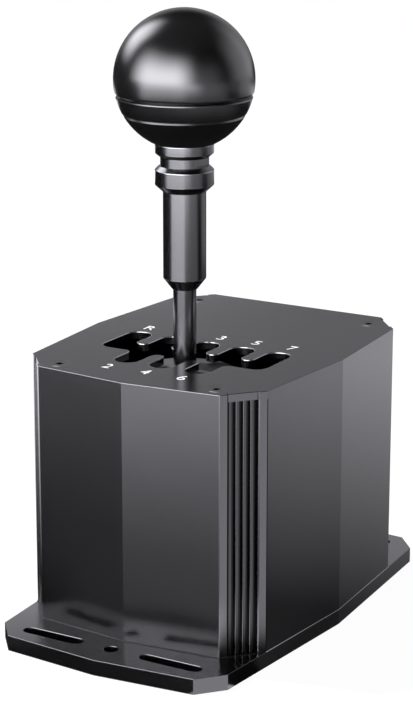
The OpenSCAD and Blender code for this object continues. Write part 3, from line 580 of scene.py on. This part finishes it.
low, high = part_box("lock_collar")
collar_r = (high.x - low.x) / 2
collar_cone, collar_bevel = 0.0027, 0.0016
bm = lathe([(bore, low.z), (sleeve_r, low.z), (collar_r, low.z + collar_cone),
            (collar_r, high.z - collar_bevel), (collar_r - collar_bevel, high.z), (bore, high.z)])
break_edges(bm, turned_chamfer, lambda e: steepness(e) < 1e-6, sharp=30)
add_piece(bm, "lock_collar_dressed", dark_gunmetal, "lever", "lever_metal", "lock_collar")

low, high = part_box("knob_adapter")
neck_r, neck_h, flat_half, bevel, rim_from = 0.0092, 0.0033, 0.0077, 0.0016, 0.004


def cut_off(bm, place, way):
    """Cuts off what lies beyond a plane, and gives the edges of the cut."""
    cut = bmesh.ops.bisect_plane(bm, geom=bm.verts[:] + bm.edges[:] + bm.faces[:], dist=1e-7,
                                 plane_co=place, plane_no=way, clear_outer=True)
    return [g for g in cut["geom_cut"] if isinstance(g, bmesh.types.BMEdge)]


def join(bm, other):
    """Adds another bmesh to a bmesh."""
    mesh = bpy.data.meshes.new("joined")
    other.to_mesh(mesh)
    other.free()
    bm.from_mesh(mesh)
    bpy.data.meshes.remove(mesh)


bm = lathe([(bore, low.z), (neck_r, low.z), (neck_r, low.z + neck_h), (bore, low.z + neck_h)])
for way in (-1, 1):
    bmesh.ops.holes_fill(bm, edges=cut_off(bm, (way * flat_half, 0, 0), (way, 0, 0)))
break_edges(bm, turned_chamfer, lambda e: steepness(e) > 1e-4, sharp=20)
head = lathe([(bore, low.z + neck_h), (neck_r, low.z + neck_h), (collar_r, low.z + neck_h + bevel),
              (collar_r, high.z), (bore, high.z)])
break_edges(head, turned_chamfer, lambda e: e.verts[0].co.z > low.z + rim_from, sharp=30)
join(bm, head)
add_piece(bm, "knob_adapter_dressed", dark_gunmetal, "lever", "lever_metal", "knob_adapter")


# Knob: a ball turned from black acetal in three pieces and polished to satin. The dome and the ring sit on
# the spigot of the base, with a fine joint between them, and a brass insert takes the rod.
low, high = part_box("knob_dome")
ball_r = (high.x - low.x) / 2
ball_z = high.z - ball_r
dome_cut = ball_z - low.z
ring_rise = 0.00025
ring_cut = ball_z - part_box("knob_ring")[0].z - ring_rise
joint_h, joint_d, land_lean, land_sink, spigot_r = 0.0012, 0.0018, 0.0003, 0.0002, 0.013
dome_bevel, ring_bevel, base_bevel, bevel_lean = 0.0004, 0.0003, 0.0011, 0.4
ring_top = dome_cut + joint_h
knob_black, shader, s = new_material("knob_black", Specular_IOR_Level=0.7)
grain = s.noise(5200, 2.0)
haze = s.noise(70, 3.0)
tint = haze.mix((0.0025, 0.0025, 0.0026, 1), (0.0035, 0.0035, 0.0036, 1))
# The marked bevel cones are a little lighter than the black plastic: a painted highlight.
feed(shader, Base_Color=s.mark("edge").mix(tint, (0.012, 0.012, 0.0122, 1)),
     Roughness=0.22 + (haze - 0.5) * 0.02 + (grain - 0.5) * 0.03,
     Normal=grain.bump(0.03, 0.00001))


def ball_slice(top_cut, low_cut):
    """A solid slice of the ball, between two heights below its middle."""
    bm = bmesh.new()
    bmesh.ops.create_uvsphere(bm, u_segments=128, v_segments=96, radius=ball_r,
                              matrix=Matrix.Translation((0, lever_y, ball_z)))
    for height, way in ((ball_z - top_cut, 1), (ball_z - low_cut, -1)):
        rim = cut_off(bm, (0, 0, height), (0, 0, way))
        if rim:
            bmesh.ops.edgeloop_fill(bm, edges=rim)
    return bm


def on_rim(height):
    """Picks the outer edges at a height below the ball's middle."""
    return lambda e: level(e, ball_z - height)


def leaning_bevel(bm, height, rise):
    """Draws the flat top at a height below the ball's middle up into a short cone."""
    layer = bm.faces.layers.float.get("edge") or bm.faces.layers.float.new("edge")
    flat = [f for f in bm.faces if all(abs(v.co.z - ball_z + height) < 1e-6 for v in f.verts)]
    made = bmesh.ops.inset_region(bm, faces=flat, thickness=bevel_lean * rise, depth=rise,
                                  use_even_offset=True, use_boundary=True)
    # The cone is marked to be a little lighter, as a painted highlight.
    for face in made["faces"]:
        face[layer] = 1.0


bm = ball_slice(-ball_r * 1.1, dome_cut)
break_edges(bm, dome_bevel, on_rim(dome_cut), bare=0.0)
add_piece(bm, "knob_dome_dressed", knob_black, "lever", "knob_plastic", "knob_dome")

bm = ball_slice(ring_top + ring_bevel, ring_cut)
leaning_bevel(bm, ring_top + ring_bevel, ring_bevel)
land_r = math.sqrt(ball_r * ball_r - ring_top * ring_top) - joint_d
land_z = ball_z - ring_top - land_sink
join(bm, lathe([(spigot_r, land_z), (land_r, land_z), (land_r + land_lean, ball_z - dome_cut),
                (spigot_r, ball_z - dome_cut)]))
add_piece(bm, "knob_ring_dressed", knob_black, "lever", "knob_plastic", "knob_ring")

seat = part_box("knob_base")[0].z
bm = ball_slice(ring_cut + base_bevel, ball_z - seat)
leaning_bevel(bm, ring_cut + base_bevel, base_bevel)
add_piece(bm, "knob_base_dressed", knob_black, "lever", "knob_plastic", "knob_base")


# Light tent: a dome of dark cloth with soft panels round the object, that shows only in shiny surfaces.
# The front panel is the brightest. It counts less where the metal mirrors it by way of other metal.
def stage_material(name):
    """A material with only an output, and a Shade to build on."""
    material = bpy.data.materials.new(name)
    material.use_nodes = True
    material.node_tree.nodes.clear()
    return material, material.node_tree.nodes.new("ShaderNodeOutputMaterial"), Shade(material.node_tree)


def stage_piece(bm, name, material):
    """A stage piece of a bmesh."""
    mesh = bpy.data.meshes.new(name)
    bm.to_mesh(mesh)
    bm.free()
    mesh.materials.append(material)
    piece = bpy.data.objects.new(name, mesh)
    bpy.context.scene.collection.objects.link(piece)
    return piece


def mirror_only(piece):
    """Lets a stage piece show only in shiny surfaces."""
    piece.visible_camera = False
    piece.visible_shadow = False
    piece.visible_diffuse = False


def show(out, shader):
    """Links a shader to an output."""
    shader.tree.links.new(shader.socket, out.inputs["Surface"])


def glow(light):
    """Cool white emission of a varying strength."""
    colour = light.node("CombineColor", {}, {0: light, 1: light, 2: light * 1.06})
    return light.node("Emission", {}, {"Color": colour})


def bearing(s, x=0.0, y=0.0):
    """The compass angle, the height angle and the distance of a place, seen from a point on the floor."""
    place = s.node("TexCoord", out="Object")
    right, back, up = (s.node("SeparateXYZ", {}, {0: place}, out=i) for i in range(3))
    right = right - x
    back = back - y
    far = s.math("SQRT", right * right + back * back)
    turn = s.math("ARCTAN2", right, 0 - back) * (180 / math.pi)
    return turn, s.math("ARCTAN2", up, far) * (180 / math.pi), far


def sector(turn, middle, half, soft):
    """1 within half so many degrees of a compass angle, falling softly to 0."""
    off = turn.math("ABSOLUTE", turn.math("WRAP", turn - middle, 180.0, -180.0))
    return 1 - off.step(half - soft, half + soft)


def panel(turn, lift, middle, half, soft, strength):
    """A soft panel of the tent, at a compass angle and a height angle."""
    off = lift.math("ABSOLUTE", lift - middle[1])
    return sector(turn, middle[0], half[0], soft) * (1 - off.step(half[1] - soft, half[1] + soft)) * strength


# Each panel: its compass and height angle, half its width and height, its softness, and its strength.
front_panel = (-8, 8), (42, 25), 21, 14.0
other_panels = (((-99, 37), (18, 16), 12, 7.4), ((147, 12), (30, 30), 18, 1.25),
                ((-150, 17), (27, 13), 10, 0.43), ((52, 0), (36, 24), 18, 0.8))
tent_r, dark_cloth, roof = 4.0, 0.02, 0.07
tent_cloth, out, s = stage_material("tent_cloth")
turn, lift, _ = bearing(s)
again = s.math("GREATER_THAN", s.node("LightPath", out="Glossy Depth"), 1.5)
weaker = again * (0.42 - turn.step(-42, -18) * 0.34 + turn.step(5, 30) * 0.5)
light = dark_cloth + panel(turn, lift, *front_panel) * (1 - weaker)
for other in other_panels:
    light = light + panel(turn, lift, *other)
show(out, glow(light + lift.step(48, 75) * roof))
bm = bmesh.new()
bmesh.ops.create_uvsphere(bm, u_segments=64, v_segments=32, radius=tent_r)
bmesh.ops.reverse_faces(bm, faces=bm.faces)
mirror_only(stage_piece(bm, "light_tent", tent_cloth))


# Dark mat: a round cloth on the floor, lighter in patches, that the upright sides of the housing and the base
# mirror. It shows only in them, and the floor stays white.
def held(value, low, high):
    """A value that is kept between two limits."""
    return value.math("MINIMUM", value.math("MAXIMUM", value, low), high)


mat_r, mat_lift = 3.9, 0.0001
mat_cloth, out, s = stage_material("mat_cloth")
turn, _, far = bearing(s, 0.0, -0.067)
ridge = 0.22 + turn.step(-42, -20) * 0.78
front = s.math("MAXIMUM", held(far * far * 22.5 + 0.3, 0.52, 3.4) * ridge, 0.22) * far.step(0.04, 0.056)
light = dark_cloth + front * sector(turn, -10, 52, 12)
turn, _, far = bearing(s, 0.045, -0.060)
light = light + sector(turn, 67.8, 26, 10) * far.step(0.02, 0.05) * 2.4
right_side = held(far * 5.2 - 0.27, 0.12, 2.1) * (1 - turn.step(146, 166) * 0.3)
light = light + sector(turn, 158, 28, 8) * right_side
turn, _, far = bearing(s, 0.0, 0.02)
left_and_back = sector(turn, -105, 32, 12) + sector(turn, -164, 26, 8) * 0.6
light = light + left_and_back * held(far * 5.8 - 0.5, 0.1, 1.8)
turn, _, far = bearing(s, 0.030, -0.066)
light = light + sector(turn, 48, 25, 2) * (1 - far.step(0.06, 0.08)) * 2.9
show(out, glow(light))
bm = bmesh.new()
bmesh.ops.create_circle(bm, cap_ends=True, segments=96, radius=mat_r,
                        matrix=Matrix.Translation((0, 0, mat_lift)))
mirror_only(stage_piece(bm, "dark_mat", mat_cloth))


# Shelf, disc and card: three more cloths that show only in shiny surfaces. The lever mirrors the shelf level
# with the top plate, the knob mirrors the small disc under it, and the base mirrors the low card behind it.
def clear_where(mask, light):
    """A glowing cloth that is clear where the mask is 1."""
    return light.node("MixShader", {}, {0: mask, 1: glow(light), 2: light.node("BsdfTransparent")})


def flat_ring(centre, inner_r, outer_r):
    """A flat ring that faces up."""
    bm = bmesh.new()
    for r in (inner_r, outer_r):
        bmesh.ops.create_circle(bm, segments=96, radius=r, matrix=Matrix.Translation(centre))
    bmesh.ops.bridge_loops(bm, edges=bm.edges[:])
    bmesh.ops.recalc_face_normals(bm, faces=bm.faces)
    if bm.faces[:][0].normal.z < 0:
        bmesh.ops.reverse_faces(bm, faces=bm.faces)
    return bm


shelf_z, shelf_hole_r, shelf_dark = plate_top + 0.0015, 0.0725, 0.03
shelf_cloth, out, s = stage_material("shelf_cloth")
turn, _, far = bearing(s, 0.0, lever_y)
light = shelf_dark + sector(turn, -6, 37, 6) * 2.2
light = light + sector(turn, 5, 48, 14) * (far.step(0.2, 0.4) * 1.5 + far.step(0.4, 0.9) * 3.8)
light = light + sector(turn, 66, 37, 6) * (0.35 + far.step(0.09, 0.15) * 0.12)
light = light + sector(turn, 55, 38, 15) * far.step(0.2, 0.4) * 0.6
light = light + sector(turn, 152, 22, 7) * (0.1 + far.step(0.12, 0.2) * 0.4)
light = light + sector(turn, 140, 35, 15) * far.step(0.3, 0.5) * 0.45
show(out, clear_where(s.node("NewGeometry", out="Backfacing"), light))
mirror_only(stage_piece(flat_ring((0, 0, shelf_z), shelf_hole_r, mat_r), "shelf", shelf_cloth))

disc_z, disc_hole_r, disc_r = seat + 0.0004, collar_r + 0.0001, 0.09
disc_cloth, out, s = stage_material("disc_cloth")
turn, _, far = bearing(s, 0.0, lever_y)
light = sector(turn, 62, 42, 26) * 0.5 + sector(turn, 8, 45, 25) * 0.24
light = dark_cloth + light * far.step(0.024, 0.05)
below = s.node("NewGeometry", out="Backfacing")
show(out, clear_where(s.math("MAXIMUM", below, far.step(0.05, 0.085)), light))
mirror_only(stage_piece(flat_ring((0, lever_y, disc_z), disc_hole_r, disc_r), "knob_disc", disc_cloth))

card_w, card_h, card_turn = 0.6, 0.16, 30.4
card_cloth, out, s = stage_material("card_cloth")
place = s.node("TexCoord", out="Object")
right, height = (s.node("SeparateXYZ", {}, {0: place}, out=i) for i in (0, 2))
light = height.step(0.02, 0.07) * (1 - height.step(0.12, 0.17)) * (2.1 - right.step(-0.2, -0.08) * 1.05)
show(out, clear_where(1 - s.math("GREATER_THAN", light, dark_cloth), light))
bm = bmesh.new()
card_place = Matrix.Translation((-0.057, 0.315, 0.09)) @ Matrix.Rotation(math.radians(card_turn), 4, "Z")
upright = Matrix.Rotation(math.pi / 2, 4, "X") @ Matrix.Diagonal((card_w, card_h, 1, 1))
bmesh.ops.create_grid(bm, x_segments=1, y_segments=1, size=0.5, matrix=card_place @ upright)
mirror_only(stage_piece(bm, "low_card", card_cloth))


# Floor, backdrop and key lamp: a white floor that runs on into a white backdrop. One small lamp, high on the
# left, lights what is dull and casts the soft shadow.
def seen_directly(s):
    """1 for what the camera sees, directly or in something shiny or clear."""
    kinds = ("Is Camera Ray", "Is Glossy Ray", "Is Transmission Ray")
    camera_ray, glossy_ray, clear_ray = (s.node("LightPath", out=kind) for kind in kinds)
    return s.math("MINIMUM", camera_ray + glossy_ray + clear_ray, 1.0)


floor_r, floor_white, fill_light = 30.0, 0.96, 0.4
floor_paint, out, s = stage_material("floor_paint")
paint = s.node("BsdfDiffuse", {}, {"Color": (0.8, 0.8, 0.8, 1)})
thin_paint = s.node("BsdfDiffuse", {}, {"Color": (0.06, 0.06, 0.06, 1)})
white = s.node("Emission", {}, {"Strength": floor_white})
lit = s.node("AddShader", {}, {0: thin_paint, 1: white})
show(out, s.node("MixShader", {}, {0: seen_directly(s), 1: paint, 2: lit}))
bm = bmesh.new()
bmesh.ops.create_circle(bm, cap_ends=True, segments=96, radius=floor_r)
stage_piece(bm, "floor", floor_paint)

world = bpy.data.worlds.new("white_backdrop")
bpy.context.scene.world = world
world.use_nodes = True
world.node_tree.nodes.clear()
s = Shade(world.node_tree)
backdrop = s.node("Background", {}, {"Color": (1, 1, 1, 1), "Strength": 1.0})
fill = s.node("Background", {}, {"Color": (1, 1, 1, 1), "Strength": fill_light})
out = world.node_tree.nodes.new("ShaderNodeOutputWorld")
show(out, s.node("MixShader", {}, {0: seen_directly(s), 1: fill, 2: backdrop}))

lamp = bpy.data.lights.new("key", "AREA")
lamp.shape = "DISK"
lamp.size = 0.12
lamp.energy = 48
key = bpy.data.objects.new("key", lamp)
bpy.context.scene.collection.objects.link(key)
key.location = (-0.806, -0.216, 1.57)
key_aim = Vector((0, 0, 0.1))
key.rotation_euler = (key_aim - Vector(key.location)).to_track_quat("-Z", "Y").to_euler()
key.visible_camera = False
key.visible_glossy = False


# Camera: a long lens on a full-frame body, in front of the object and to its right, a little above the top
# plate. It stands where the picture was taken from.
eye = Vector((0.4217, -0.7262, 0.3305))
aim = Vector((-0.00343, -0.00201, 0.10259))
lens = bpy.data.cameras.new("camera")
lens.sensor_width = 36.0
lens.lens = 114.93
lens.clip_start = 0.01
camera = bpy.data.objects.new("camera", lens)
bpy.context.scene.collection.objects.link(camera)
camera.location = eye
camera.rotation_euler = (aim - eye).to_track_quat("-Z", "Y").to_euler()
bpy.context.scene.camera = camera
bpy.context.scene.view_settings.view_transform = "Standard"
